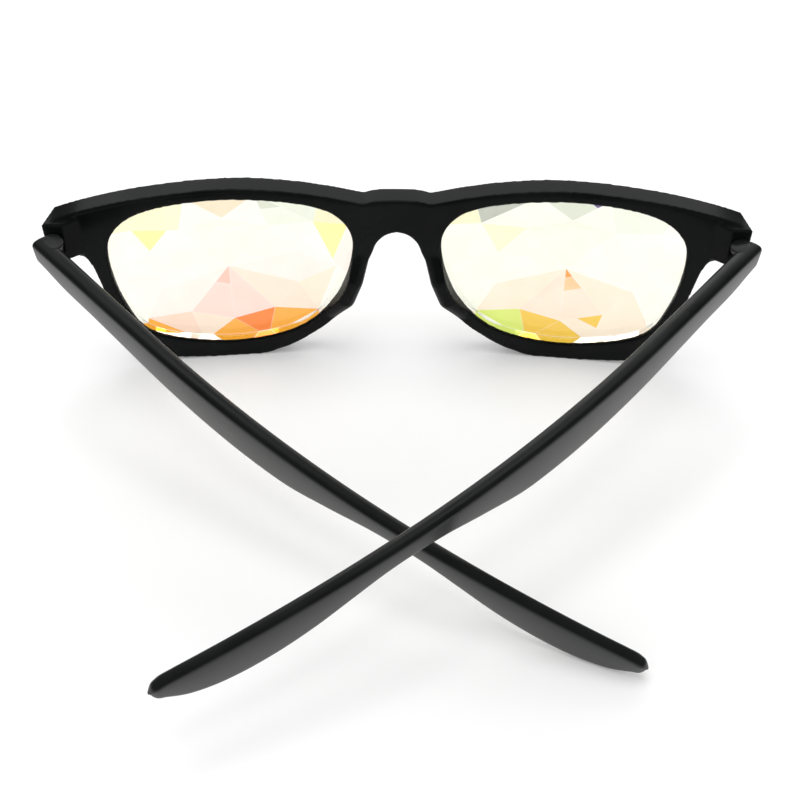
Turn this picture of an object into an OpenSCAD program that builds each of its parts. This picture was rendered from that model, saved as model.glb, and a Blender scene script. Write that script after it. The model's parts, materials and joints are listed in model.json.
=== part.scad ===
// Glasses with faceted kaleidoscope lenses: a moulded front, two lenses, two temples and their hinges.
// The front stands upright on its rims with the temples half folded and crossed behind it.
// +X is to the wearer's right, +Y is the way the wearer looks, Z = 0 is the surface they stand on.

/* [Lenses] */
// Width of a rim opening
lens_w = 50.5; // [44:0.1:54]
// Height of a rim opening
lens_h = 38.2; // [32:0.1:41]
// Width of the nose gap between the two openings
lens_gap = 18.5; // [15:0.1:22]
// How far a lens edge reaches into the seat of its rim, which is open to the front
lens_seat = 0.8; // [0.4:0.1:1.2]
// Thickness of a lens at its edge
lens_edge = 2; // [1.6:0.1:2.6]
// Height of the faceted dome above the lens edge
dome_h = 3.5; // [2:0.1:5]
// Extra height of the point in the middle of the dome
star_rise = 1.6; // [0:0.1:2.5]
// Distance from the middle of the dome at which it comes down to the lens edge
dome_r = 31; // [29:0.5:40]
// Width of the dome as a multiple of its height
dome_wide = 1.13; // [1:0.01:1.3]
// Distance of the dome's middle below the middle of the opening
dome_low = 1.6; // [0:0.1:3]
// Distance of the dome's middle outside the middle of the opening
dome_out = 1.5; // [0:0.1:3]
// Number of facets that meet in the middle of the dome
facets = 10; // [8:2:14]
// Distance of the inner ring of facet corners from the middle of the dome
star_r = 13.8; // [10:0.1:16]
// Distance of the outer ring of facet corners from the middle of the dome
ring_r = 20.5; // [18:0.1:24]
// How far the flat back of a lens lies inside the back face of the rims
lens_inset = 1; // [0.9:0.1:1.4]
// Space round a lens in its seat
lens_clear = 0.05; // [0.02:0.01:0.1]

/* [Front] */
// Half of the overall width of the front, to the outer back corner of an endpiece
front_half = 70.3; // [68:0.1:74]
// How far the front corner of the front is set in from the back corner of the endpiece
corner_in = 1.2; // [0.5:0.1:3]
// Thickness of the front
front_t = 5; // [4.4:0.1:6]
// Radius of the front's back face in plan
base_r = 360; // [300:5:600]
// Height of the rim under an opening
rim_bottom = 4.4; // [4:0.1:7]
// Height of the rim above an opening
rim_top = 2.4; // [1.4:0.1:3.5]
// Width of the rim at its outer side
rim_side = 2.6; // [2:0.1:5]
// Depth of the valleys beside the bridge, below the top of the brow
brow_dip = 4.4; // [3:0.1:6]
// Rise of the middle of the bridge above those valleys
bridge_rise = 0.8; // [0:0.1:1.5]
// Height of the bridge from its underside to its top
bridge_h = 7.8; // [5:0.1:9]
// How far the moulded nose pads stand out behind the front
pad_out = 2.8; // [1.5:0.1:4]
// Radius of the nose pads' rounding
pad_r = 2.1; // [1.6:0.1:2.6]
// Depth trimmed off the rims for the flat feet
foot_cut = 0.25; // [0.1:0.05:0.6]

/* [Endpieces] */
// Height of an endpiece
end_h = 8.8; // [8:0.1:11]
// How far the top of an endpiece lies below the top of the brow
end_drop = 4; // [3:0.1:6]
// How far the back of an endpiece lies behind the middle of the front
end_back = 7.8; // [7:0.1:9]
// Thickness of an endpiece at its back
end_t = 3.9; // [3.4:0.1:6]

/* [Temples] */
// Length of a temple along its top edge
temple_len = 139; // [125:0.5:150]
// Thickness of a temple at the hinge
temple_t = 3.7; // [3:0.1:4.5]
// Thickness of a temple at its tip
tip_t = 2.6; // [2:0.1:3.4]
// Height of a temple at the hinge
temple_h = 6.6; // [6:0.1:9]
// How far the top of a temple at its hinge lies below the top of the endpiece
temple_drop = 2; // [0:0.1:2.5]
// How far the outside of an open temple stands out from the endpiece
temple_proud = 0.9; // [0:0.05:1.2]
// Height of the deep part of the blade in front of the ear
blade_h = 9.1; // [8:0.1:11]
// Height of the waist over the ear
waist_h = 4.9; // [4:0.1:7]
// Height of the hooked end
hook_h = 8.3; // [7:0.1:10]
// Drop of a temple below level, in degrees
temple_slope = 13.7; // [8:0.1:16]
// Extra drop of the tip by the bend over the ear
tip_droop = 1.1; // [0:0.1:3]
// Inward turn of a temple between its straight part and its tip, in degrees
temple_bow = 21.7; // [5:0.1:26]
// Length of the straight part behind the hinge
straight_len = 30; // [20:1:60]
// Angle that the left temple is folded in by, in degrees
left_fold = 49.2; // [0:0.1:84]
// Angle that the right temple is folded in by, in degrees
right_fold = 43.7; // [0:0.1:75]

/* [Hinges] */
// Radius of a hinge barrel
barrel_r = 1.5; // [1.3:0.05:1.8]
// Height of one of the three barrels
barrel_h = 1.5; // [1.3:0.05:1.7]
// Gap between neighbouring barrels
barrel_gap = 0.08; // [0.05:0.01:0.15]
// Radius of the hinge screw's shank
screw_r = 0.6; // [0.5:0.05:0.8]
// Radial clearance of the screw in the barrels that turn on it
screw_clear = 0.04; // [0.02:0.01:0.08]
// Radius of the screw head
screw_head_r = 1; // [0.9:0.05:1.1]
// Height of the screw head
head_h = 0.5; // [0.4:0.05:0.8]
// Thickness of a hinge leaf
leaf_t = 0.9; // [0.7:0.05:1.2]
// Length of a hinge leaf's plate
leaf_len = 7; // [6:0.5:11]
// Height of a hinge leaf's plate
leaf_h = 3; // [2.6:0.1:3.6]
// Distance of the plates outside the hinge axis
leaf_x = 0.7; // [0.5:0.05:1]
// How deep a temple's plate lies in the temple, below its inner side
leaf_sink = 0.8; // [0.6:0.05:1.2]
// Distance of the hinge axis behind the endpiece
axis_back = 2.6; // [2.5:0.1:3.4]
// Thickness of the knuckle that covers the barrels, below the temple's top
knuckle_t = 1.1; // [0.9:0.05:1.4]
// Radius of the knuckle's round inner side
knuckle_r = 1.9; // [1.7:0.05:2]
// Distance of the knuckle's front end from the hinge axis
knuckle_out = 2.2; // [1.9:0.1:2.2]
// Lean of the right hinge axis, which lifts that temple over the other, in degrees
right_lean = 9.5; // [0:0.1:12]
// Space round the barrels where they sink into the moulded pieces
barrel_clear = 0.2; // [0.1:0.05:0.3]
// Gap between an endpiece and the end of an open temple
end_gap = 0.15; // [0.1:0.05:0.4]

/* [Hidden] */
$fn = 96;

// Distance of the front's back face from the middle of the footprint
front_y = 46.3;
// Sideways and vertical middle of an opening
lens_x = lens_gap / 2 + lens_w / 2;
lens_z = rim_bottom + lens_h / 2;
// Turn of a lens, so that it lies along the curved front
wrap = asin(lens_x / base_r);
brow_z = rim_bottom + lens_h + rim_top;
end_top = brow_z - end_drop;
end_bottom = end_top - end_h;
bridge_top = brow_z - brow_dip + bridge_rise;
bridge_under = bridge_top - bridge_h;
rim_out = lens_x + lens_w / 2 + rim_side;
// Distance of a temple's inner side outside the hinge axis
temple_in = leaf_x - leaf_sink;
// Hinge axis and the middle of its barrels
axis_x = front_half + temple_proud - temple_t - temple_in;
axis_y = -end_back - axis_back;
temple_z = end_top - temple_drop;
stack_h = 3 * barrel_h + 2 * barrel_gap;
stack_z = temple_z - knuckle_t - barrel_gap - stack_h / 2;
temple_end = axis_back - end_gap;
bow_r = (temple_len - straight_len) * 180 / PI / temple_bow;
slop = 0.02;
far = 60;

// Smooth curves

// Point on a curve through four points, at t from 0 to 1 between the middle two
function curve_at(a, b, c, d, t) = 0.5 * (2 * b + (c - a) * t
    + (2 * a - 5 * b + 4 * c - d) * t * t + (3 * b - a - 3 * c + d) * t * t * t);

// Closed smooth outline through all the points p, with n steps between neighbours
function loop_through(p, n) = [
    for (i = [0 : len(p) - 1], k = [0 : n - 1])
        curve_at(p[(i + len(p) - 1) % len(p)], p[i], p[(i + 1) % len(p)], p[(i + 2) % len(p)], k / n)
];

// Open smooth line through the points p, without its last point
function line_through(p, n) = [
    for (i = [0 : len(p) - 2], k = [0 : n - 1])
        curve_at(p[max(i - 1, 0)], p[i], p[i + 1], p[min(i + 2, len(p) - 1)], k / n)
];

// Lenses

// Shape of an opening as shares of its half width and half height, nose side to the left
lens_shape = [[-1, 0.29], [-0.91, 0.69], [-0.61, 0.9], [0.03, 1], [0.63, 0.92], [0.92, 0.68],
    [1, 0.29], [0.935, -0.35], [0.73, -0.81], [0.11, -1], [-0.49, -0.85], [-0.85, -0.37]];

// Outline of an opening that is grown all round by g
function lens_outline(g) = loop_through(
    [for (q = lens_shape) [q.x * (lens_w / 2 + g), q.y * (lens_h / 2 + g)]], 6);

// Slab with a lens outline, from depth y0 to y1 in front of the lens's own plane
module lens_slab(g, y0, y1) {
    translate([0, y1, 0])
        rotate([90, 0, 0])
            linear_extrude(y1 - y0)
                polygon(lens_outline(g));
}

// Places a right-hand lens in its rim, with the middle of its flat back at the origin
module at_lens() {
    translate([lens_x, front_y + lens_inset + base_r * (cos(wrap) - 1), lens_z])
        rotate([0, 0, -wrap])
            children();
}

// Height of the dome above the lens's back at distance r from its middle
function dome_at(r) = lens_edge + dome_h * (1 - r * r / dome_r / dome_r);

// Ring of facet corners at distance r, turned by the angle turn, at depth y
function facet_ring(r, turn, y) = [
    for (i = [0 : facets - 1])
        [r * dome_wide * cos(360 * i / facets + turn) + dome_out, y,
            r * sin(360 * i / facets + turn) - dome_low]
];

// Dome whose facets join the middle, a star ring, an outer ring and a rim beyond the opening
module dome() {
    half_turn = 180 / facets;
    rim_r = dome_r * 1.1;
    corners = concat(
        facet_ring(star_r, half_turn, dome_at(star_r)),
        facet_ring(ring_r, 0, dome_at(ring_r)),
        facet_ring(rim_r, half_turn, dome_at(rim_r)),
        facet_ring(rim_r, half_turn, -slop),
        [[dome_out, dome_at(0) + star_rise, -dome_low]]);
    polyhedron(corners, [
        for (i = [0 : facets - 1])
            let (next = (i + 1) % facets, middle = 4 * facets)
                each [[i, next, middle],
                    [next + facets, next, i],
                    [i, i + facets, next + facets],
                    [i + 2 * facets, next + facets, i + facets],
                    [next + facets, i + 2 * facets, next + 2 * facets],
                    [i + 3 * facets, next + 3 * facets, next + 2 * facets, i + 2 * facets]],
        [for (i = [facets - 1 : -1 : 0]) i + 3 * facets]]);
}

module lens() {
    intersection() {
        lens_slab(lens_seat, 0, lens_edge + dome_h + star_rise + slop);
        dome();
    }
}

module right_lens() {
    color([0.97, 0.95, 0.8, 0.6])
        at_lens()
            lens();
}

module left_lens() {
    color([0.97, 0.93, 0.85, 0.6])
        mirror([1, 0, 0])
            at_lens()
                lens();
}

// Front

// Half of the front's outline, from the top of the bridge outwards and round to the bridge's underside
valley = [lens_gap * 0.37, brow_z - brow_dip];
corner_x = front_half - corner_in;
brow_line = [[0, bridge_top], [lens_gap * 0.22, bridge_top - bridge_rise * 0.2], valley];
brow_rise = [valley, [lens_x * 0.58, brow_z - brow_dip * 0.34], [lens_x, brow_z],
    [lens_x + lens_w * 0.33, brow_z - brow_dip * 0.2], [lens_x + lens_w * 0.55, brow_z - brow_dip * 0.56],
    [corner_x, end_top]];
side_line = [[corner_x, end_bottom + end_h * 0.035],
    [rim_out + rim_side * 1.2, end_bottom - rim_side * 0.1],
    [rim_out + rim_side * 0.4, end_bottom - rim_side * 0.8],
    [rim_out - rim_side * 0.07, lens_z + lens_h * 0.03],
    [rim_out - rim_side * 0.63, rim_bottom + lens_h * 0.28],
    [rim_out - rim_side * 1.4, rim_bottom + lens_h * 0.11],
    [rim_out - rim_side * 2.53, rim_bottom * 0.84],
    [rim_out - rim_side * 4.2, rim_bottom * 0.24]];
foot_line = [[lens_x + lens_w * 0.172, foot_cut * 0.4], [lens_x + lens_w * 0.04, -foot_cut],
    [lens_x - lens_w * 0.084, 0], [lens_x - lens_w * 0.164, rim_bottom * 0.3],
    [lens_x - lens_w * 0.25, rim_bottom * 0.78]];
nose_line = [[lens_gap * 0.82, lens_h * 0.225], [lens_gap * 0.55, lens_h * 0.39],
    [lens_gap * 0.37, lens_h * 0.63], [lens_gap * 0.285, bridge_under - bridge_h * 0.74],
    [lens_gap * 0.23, bridge_under - bridge_h * 0.38],
    [lens_gap * 0.13, bridge_under - bridge_h * 0.11], [0, bridge_under]];
half_outline = concat(line_through(brow_line, 4), line_through(brow_rise, 6), [[corner_x, end_top]],
    line_through(concat(side_line, foot_line, nose_line), 5));

module outline_slab() {
    translate([0, front_y + 2 * front_t, 0])
        rotate([90, 0, 0])
            linear_extrude(front_t * 5)
                for (side = [0, 1])
                    mirror([side, 0, 0])
                        polygon(concat(half_outline,
                            [[0, bridge_under], [-slop, bridge_under], [-slop, bridge_top]]));
}

// Curved plate that the front is cut from
module curved_plate() {
    translate([0, front_y - base_r, -1])
        difference() {
            cylinder(r = base_r + front_t, h = brow_z * 1.1, $fn = 720);
            translate([0, 0, -1])
                cylinder(r = base_r, h = brow_z * 1.2, $fn = 720);
        }
}

// Right-hand endpiece, which runs back from the front to the hinge
module endpiece() {
    plate_y = front_y - base_r + sqrt(base_r * base_r - front_half * front_half);
    translate([0, 0, end_bottom])
        linear_extrude(end_h)
            polygon([[front_half, front_y - end_back], [front_half - end_t, front_y - end_back],
                [front_half - end_t * 1.67, plate_y + front_t * 0.2],
                [front_half - end_t * 1.54, plate_y + front_t / 2],
                [corner_x, plate_y + front_t]]);
}

// Right-hand nose pad, a low ridge moulded on the back of the rim
module nose_pad() {
    hull() {
        translate([lens_gap * 0.41, front_y + pad_r, lens_z + lens_h * 0.107])
            sphere(r = pad_r, $fn = 32);
        translate([lens_gap * 0.5, front_y - pad_out + pad_r, lens_z - lens_h * 0.054])
            sphere(r = pad_r, $fn = 32);
        translate([lens_gap * 0.6, front_y - pad_out + pad_r, lens_z - lens_h * 0.188])
            sphere(r = pad_r, $fn = 32);
        translate([lens_gap * 0.85, front_y + pad_r, lens_z - lens_h * 0.35])
            sphere(r = pad_r, $fn = 32);
    }
}

module front_frame() {
    color([0.06, 0.065, 0.065])
        difference() {
            union() {
                intersection() {
                    outline_slab();
                    curved_plate();
                }
                for (side = [0, 1])
                    mirror([side, 0, 0]) {
                        endpiece();
                        nose_pad();
                    }
            }
            for (side = [0, 1])
                mirror([side, 0, 0]) {
                    at_lens() {
                        lens_slab(0, -front_t * 2, front_t * 3);
                        lens_slab(lens_seat + lens_clear, -lens_clear, front_t * 3);
                    }
                    leaf_room(side == 0 ? right_lean : 0);
                }
            translate([-far * 2, front_y - far, -far])
                cube([far * 4, far * 2, far]);
        }
}

// Hinges, in a frame with its origin on the hinge axis, at the middle of the barrels

// Places a piece of the right-hand hinge; lean tilts the axis outwards at its top
module at_hinge(lean) {
    translate([axis_x, front_y + axis_y, stack_z])
        rotate([0, lean, 0])
            children();
}

// Turns a piece that is drawn open in by the angle fold about the hinge axis
module folded(fold, lean) {
    at_hinge(lean)
        rotate([0, 0, -fold])
            rotate([0, -lean, 0])
                translate([-axis_x, -front_y - axis_y, -stack_z])
                    children();
}

// Space for the barrels in a temple
module hinge_room(lean) {
    at_hinge(lean)
        translate([0, 0, -stack_h / 2 - barrel_clear])
            cylinder(r = barrel_r + barrel_clear, h = stack_h + barrel_clear * 2);
}

// Pocket for the plate of the front hinge leaf
module leaf_room(lean) {
    at_hinge(lean)
        leaf_plate();
}

// Notch in the end of a temple that lets the front leaf's plate pass
module leaf_notch(lean) {
    at_hinge(lean)
        translate([-barrel_r, 0, -leaf_h / 2 - barrel_clear])
            cube([barrel_r + leaf_x + leaf_t + barrel_clear, leaf_len, leaf_h + barrel_clear * 2]);
}

// Barrel number i, counted from the lowest
module barrel(i) {
    translate([0, 0, -stack_h / 2 + i * (barrel_h + barrel_gap)])
        cylinder(r = barrel_r, h = barrel_h);
}

// Plate of a leaf, running to +Y from the axis
module leaf_plate() {
    translate([leaf_x, 0, -leaf_h / 2])
        cube([leaf_t, leaf_len, leaf_h]);
}

module screw_hole(r) {
    translate([0, 0, -stack_h])
        cylinder(r = r, h = stack_h * 2);
}

// The front leaf has the middle barrel
module front_leaf(lean) {
    color([0.16, 0.16, 0.17])
        at_hinge(lean)
            difference() {
                union() {
                    barrel(1);
                    difference() {
                        leaf_plate();
                        for (i = [0, 2])
                            translate([0, 0, -stack_h / 2 + i * (barrel_h + barrel_gap) - barrel_gap])
                                cylinder(r = barrel_r + barrel_gap * 2, h = barrel_h + barrel_gap * 2);
                    }
                }
                screw_hole(screw_r + screw_clear);
            }
}

// The temple leaf has the top and bottom barrels
module temple_leaf(fold, lean) {
    color([0.16, 0.16, 0.17])
        at_hinge(lean)
            rotate([0, 0, -fold])
                difference() {
                    union() {
                        barrel(0);
                        barrel(2);
                        difference() {
                            mirror([0, 1, 0])
                                leaf_plate();
                            translate([0, 0, -barrel_h / 2 - barrel_gap])
                                cylinder(r = barrel_r + barrel_gap * 2, h = barrel_h + barrel_gap * 2);
                        }
                    }
                    screw_hole(screw_r);
                    translate([0, 0, -stack_h / 2 - head_h])
                        cylinder(r = screw_head_r, h = head_h * 2);
                }
}

// Screw with a slotted head sunk in the lowest barrel
module hinge_screw(fold, lean) {
    color([0.3, 0.3, 0.31])
        at_hinge(lean)
            rotate([0, 0, -fold])
                difference() {
                    union() {
                        translate([0, 0, -stack_h / 2 + head_h])
                            cylinder(r = screw_r, h = stack_h - head_h);
                        translate([0, 0, -stack_h / 2])
                            cylinder(r = screw_head_r, h = head_h);
                    }
                    translate([-screw_head_r * 2, -screw_r / 4, -stack_h / 2 - head_h / 2])
                        cube([screw_head_r * 4, screw_r / 2, head_h]);
                }
}

module left_front_hinge_leaf() {
    mirror([1, 0, 0])
        front_leaf(0);
}

module right_front_hinge_leaf() {
    front_leaf(right_lean);
}

module left_temple_hinge_leaf() {
    mirror([1, 0, 0])
        temple_leaf(left_fold, 0);
}

module right_temple_hinge_leaf() {
    temple_leaf(right_fold, right_lean);
}

module left_hinge_screw() {
    mirror([1, 0, 0])
        hinge_screw(left_fold, 0);
}

module right_hinge_screw() {
    hinge_screw(right_fold, right_lean);
}

// Temples, drawn open behind the right-hand endpiece

// Turn of the blade in plan, and how far back it has come, at s along its top edge
function turn_at(s) = temple_bow * max(0, s - straight_len) / (temple_len - straight_len);
function back_at(s) = cos(temple_slope) * (min(s, straight_len) + bow_r * sin(turn_at(s)));
function in_at(s) = cos(temple_slope) * bow_r * (1 - cos(turn_at(s)));
function drop_at(s) = sin(temple_slope) * s + tip_droop * pow(max(0, s / temple_len - 0.66) / 0.34, 2);
function thick_at(s) = temple_t + (tip_t - temple_t) * s / temple_len;

// Height of the blade at shares of the temple's length, up to the hooked end
blade_heights = [[-0.03, temple_h * 0.72], [0, temple_h * 0.8], [0.03, temple_h * 0.94],
    [0.1, temple_h * 1.03], [0.27, blade_h * 0.935], [0.42, blade_h], [0.465, blade_h * 0.97],
    [0.54, waist_h * 1.39], [0.61, waist_h * 1.02], [0.69, waist_h], [0.74, waist_h * 1.24],
    [0.79, hook_h * 0.9], [0.85, hook_h], [0.89, hook_h * 0.99], [0.93, hook_h * 0.89]];
// Rounded tip: share of the length and share of the hook's height below the top edge
tip_shape = [[0.93, hook_h * 0.89], [0.957, hook_h * 0.74], [0.98, hook_h * 0.52], [0.995, hook_h * 0.36],
    [1, hook_h * 0.23], [0.997, hook_h * 0.12], [0.988, hook_h * 0.04], [0.965, 0]];

// Point of the blade's side view at share t of its length and at depth h below the top edge
function side_at(t, h) = let (s = temple_len * t) [-back_at(s), temple_z - drop_at(s) - h];

// Side view of the blade: top edge out towards the tip, round the tip and back along the lower edge
top_edge = [for (i = [0 : 34]) side_at(i / 36, 0)];
low_edge = [for (q = line_through(blade_heights, 3)) side_at(q.x, q.y)];
tip_edge = [for (q = line_through(tip_shape, 3)) side_at(q.x, q.y)];

module temple_side() {
    translate([axis_x - far / 2, front_y + axis_y, 0])
        rotate([90, 0, 90])
            linear_extrude(far)
                polygon(concat([[temple_end, temple_z + temple_end * tan(temple_slope)]],
                    top_edge,
                    [for (i = [len(tip_edge) - 1 : -1 : 0]) tip_edge[i]],
                    [for (i = [len(low_edge) - 1 : -1 : 0]) low_edge[i]],
                    [[temple_end, temple_z - temple_h * 0.75]]));
}

module temple_plan() {
    steps = 40;
    inner = [for (i = [0 : steps]) let (s = temple_len * 1.03 * i / steps)
        [temple_in - in_at(s), -back_at(s)]];
    outer = [for (i = [steps : -1 : 0]) let (s = temple_len * 1.03 * i / steps, a = turn_at(s))
        [temple_in - in_at(s) + thick_at(s) * cos(a), -back_at(s) - thick_at(s) * sin(a)]];
    translate([axis_x, front_y + axis_y, -far])
        linear_extrude(far * 2)
            polygon(concat([[temple_in, temple_end]], inner, outer, [[temple_in + temple_t, temple_end]]));
}

// Knuckle on the temple's inner side, over the barrels and up to the top edge
module knuckle() {
    front = knuckle_out - knuckle_r;
    translate([axis_x, front_y + axis_y, stack_z + stack_h / 2 + barrel_gap])
        linear_extrude(far) {
            circle(r = knuckle_r);
            translate([0, front])
                circle(r = knuckle_r);
            translate([-knuckle_r, 0])
                square([knuckle_r + temple_in + temple_t / 2, front]);
            square([temple_in + temple_t / 2, knuckle_out]);
        }
}

module temple(fold, lean) {
    color([0.07, 0.075, 0.075])
        folded(fold, lean)
            difference() {
                intersection() {
                    temple_side();
                    union() {
                        temple_plan();
                        knuckle();
                    }
                }
                hinge_room(lean);
                leaf_notch(lean);
                at_hinge(lean)
                    mirror([0, 1, 0])
                        leaf_plate();
            }
}

module left_temple() {
    mirror([1, 0, 0])
        temple(left_fold, 0);
}

module right_temple() {
    temple(right_fold, right_lean);
}

front_frame();
left_lens();
right_lens();
left_temple();
right_temple();
left_front_hinge_leaf();
right_front_hinge_leaf();
left_temple_hinge_leaf();
right_temple_hinge_leaf();
left_hinge_screw();
right_hinge_screw();
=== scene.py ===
# Kaleidoscope glasses: black mouldings, faceted lenses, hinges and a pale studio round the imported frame
import json
import math

import bmesh
import bpy
import numpy as np
from mathutils import Matrix, Vector


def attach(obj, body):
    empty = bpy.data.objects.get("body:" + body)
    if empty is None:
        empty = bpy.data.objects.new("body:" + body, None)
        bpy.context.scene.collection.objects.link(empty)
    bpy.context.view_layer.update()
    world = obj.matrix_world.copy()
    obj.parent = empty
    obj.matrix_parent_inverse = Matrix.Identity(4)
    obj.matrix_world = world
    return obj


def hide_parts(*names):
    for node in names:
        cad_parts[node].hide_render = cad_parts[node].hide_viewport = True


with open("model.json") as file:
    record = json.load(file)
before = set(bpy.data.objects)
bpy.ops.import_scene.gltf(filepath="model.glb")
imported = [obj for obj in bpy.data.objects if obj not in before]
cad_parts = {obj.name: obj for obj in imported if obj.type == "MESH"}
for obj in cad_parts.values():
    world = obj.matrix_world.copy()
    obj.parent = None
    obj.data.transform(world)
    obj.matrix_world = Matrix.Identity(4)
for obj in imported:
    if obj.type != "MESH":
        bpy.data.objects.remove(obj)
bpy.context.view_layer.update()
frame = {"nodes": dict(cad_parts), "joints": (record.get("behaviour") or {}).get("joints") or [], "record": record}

bl_info = {
    "name": "Kaleidoscope Glasses",
    "version": (1, 0, 0),
    "blender": (4, 5, 0),
    "location": "View3D > Sidebar > Glasses",
    "description": "Builds moulded glasses with faceted lenses on their packed frame",
    "category": "Add Mesh",
}

# The hinge of each temple's body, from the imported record, and the degrees by which it is folded at rest
HINGE = {joint["child"]: joint for joint in frame["joints"]}
LEFT_FOLD = -HINGE["left_arm"]["range_deg"][0]
RIGHT_FOLD = LEFT_FOLD * frame["record"]["behaviour"]["couplings"][0]["ratio"]


# Settings


class FrontSettings(bpy.types.PropertyGroup):
    """The moulded front."""

    voxel: bpy.props.FloatProperty(
        name="Detail", description="Size of the cells that the rounded front is rebuilt from",
        default=0.00025, min=0.0002, max=0.001, unit="LENGTH", precision=5)
    softness: bpy.props.IntProperty(
        name="Softness", description="How far the edges are rounded off", default=8, min=0, max=60)
    triangles: bpy.props.IntProperty(
        name="Triangles", description="Most triangles of the front", default=150000, min=20000, max=190000)
    colour: bpy.props.FloatVectorProperty(
        name="Plastic", description="Colour of the front and the temples", subtype="COLOR",
        size=3, min=0, max=1, default=(0.0035, 0.004, 0.004))


class TempleSettings(bpy.types.PropertyGroup):
    """The two temples."""

    length: bpy.props.FloatProperty(
        name="Length", description="Length along the top edge", default=0.139, unit="LENGTH", precision=4)
    straight: bpy.props.FloatProperty(
        name="Straight part", description="Length of the straight part behind the hinge",
        default=0.030, unit="LENGTH", precision=4)
    thickness: bpy.props.FloatProperty(
        name="Thickness", description="Thickness at the hinge", default=0.0037, unit="LENGTH", precision=4)
    tip_thickness: bpy.props.FloatProperty(
        name="Tip thickness", description="Thickness at the tip", default=0.0026, unit="LENGTH", precision=4)
    slope: bpy.props.FloatProperty(
        name="Slope", description="Drop below level", default=math.radians(13.7), subtype="ANGLE")
    bow: bpy.props.FloatProperty(
        name="Bow", description="Inward turn between the straight part and the tip",
        default=math.radians(21.7), subtype="ANGLE")
    edge: bpy.props.FloatProperty(
        name="Edge radius", description="Rounding of the long edges", default=0.0007, unit="LENGTH",
        precision=4)
    crown: bpy.props.FloatProperty(
        name="Crown", description="How far the sides curve in at the lower edge", default=0.0003,
        unit="LENGTH", precision=5)
    top_crown: bpy.props.FloatProperty(
        name="Top crown", description="How far the top edge falls to its two sides", default=0.0003,
        unit="LENGTH", precision=5)


def tint_property(name, text, colour):
    return bpy.props.FloatVectorProperty(
        name=name, description=text, subtype="COLOR", size=3, min=0, max=1, default=colour)


class LensSettings(bpy.types.PropertyGroup):
    """The faceted lenses."""

    wide: bpy.props.FloatProperty(
        name="Width", description="Width of the facet rings as a multiple of their height", default=1.13)
    border: bpy.props.FloatProperty(
        name="Border", description="Width of the polished strip round a facet", default=0.00008,
        unit="LENGTH", precision=5)
    cream: tint_property("Cream", "Tint of most facets", (1.0, 1.0, 0.90))
    mint: tint_property("Mint", "Tint of the right lens's upper facets", (0.965, 1.0, 0.87))
    mist: tint_property("Mist", "Tint of the facets near the top", (0.90, 0.95, 0.82))
    # Painted reflection: this grey-green darkens facets at the top edge to stand in for the black frame mirrored
    # in the lens
    painted_frame_reflection: tint_property("Smoke", "Tint of some facets at the top edge", (0.74, 0.79, 0.66))
    # Painted reflection: a darker grey for the black frame mirrored at the top edge of the right lens
    shade: tint_property("Shade", "Darkest tint at the top edge", (0.55, 0.58, 0.50))
    violet: tint_property("Violet", "Glint at the top of the right lens", (0.12, 0.08, 0.25))
    tan: tint_property("Tan", "Tint of the facet above the middle", (0.93, 0.82, 0.60))
    straw: tint_property("Straw", "Tint of some outer facets", (0.99, 0.96, 0.66))
    yellow: tint_property("Yellow", "Tint of the strongest outer facets", (0.98, 0.94, 0.40))
    lime: tint_property("Lime", "Tint at the nose side of the right lens", (0.74, 0.88, 0.19))
    blush: tint_property("Blush", "Palest of the star's tints", (1.0, 0.92, 0.85))
    rose: tint_property("Rose", "Strongest of the star's tints", (1.0, 0.75, 0.67))
    rose_sand: tint_property("Rose sand", "Warm tint of the star", (0.99, 0.83, 0.68))
    sand: tint_property("Sand", "Pale warm tint round the star", (0.985, 0.87, 0.70))
    peach: tint_property("Peach", "Tint under the star", (0.985, 0.75, 0.60))
    coral: tint_property("Coral", "Glint in the left star", (0.99, 0.60, 0.50))
    melon: tint_property("Melon", "Glint in the right star", (0.99, 0.66, 0.36))
    apricot: tint_property("Apricot", "Tip of the glint in the right star", (0.98, 0.40, 0.09))
    orange: tint_property("Orange", "Deepest tint under the left star", (1.0, 0.26, 0.035))
    amber: tint_property("Amber", "Tint at the bottom of the left lens", (1.0, 0.45, 0.045))
    gold: tint_property("Gold", "Tint at the bottom of the right lens", (0.94, 0.62, 0.07))


class HingeSettings(bpy.types.PropertyGroup):
    """Hinges and screws."""

    steel: bpy.props.FloatVectorProperty(
        name="Steel", description="Colour of the hinge leaves", subtype="COLOR", size=3, min=0, max=1,
        default=(0.03, 0.03, 0.032))
    screw: bpy.props.FloatVectorProperty(
        name="Screw", description="Colour of the screws", subtype="COLOR", size=3, min=0, max=1,
        default=(0.35, 0.35, 0.36))


def lamp_property(name, text, watts):
    return bpy.props.FloatProperty(name=name, description=text, default=watts, min=0, unit="POWER")


class StageSettings(bpy.types.PropertyGroup):
    """Camera, floor and light."""

    view_from: bpy.props.FloatVectorProperty(
        name="Camera", description="Place of the camera", subtype="TRANSLATION", size=3,
        unit="LENGTH", default=(0.0029569, -0.1461717, 0.1834266))
    yaw: bpy.props.FloatProperty(
        name="Yaw", description="Turn of the camera to the right", default=math.radians(-0.6774),
        subtype="ANGLE")
    pitch: bpy.props.FloatProperty(
        name="Pitch", description="Tilt of the camera below level", default=math.radians(46.0),
        subtype="ANGLE")
    roll: bpy.props.FloatProperty(
        name="Roll", description="Roll of the camera", default=math.radians(0.0455), subtype="ANGLE")
    focal: bpy.props.FloatProperty(
        name="Focal length", description="In shares of the picture's width", default=1170.16 / 800)
    window: lamp_property("Window", "Power of the wide lamp in front of the glasses", 2.2)
    overhead: lamp_property("Overhead", "Power of the lamp above, which isn't mirrored", 3.6)
    ridge: lamp_property("Ridge", "Power of the small lamp that the top edges mirror", 0.24)


# Meshes


# Points closer together than this are one
MERGE = 1e-6


def placed(name, data):
    """An object for a mesh, a lamp or a camera, at the origin."""
    obj = bpy.data.objects.new(name, data)
    bpy.context.scene.collection.objects.link(obj)
    return obj


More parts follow.
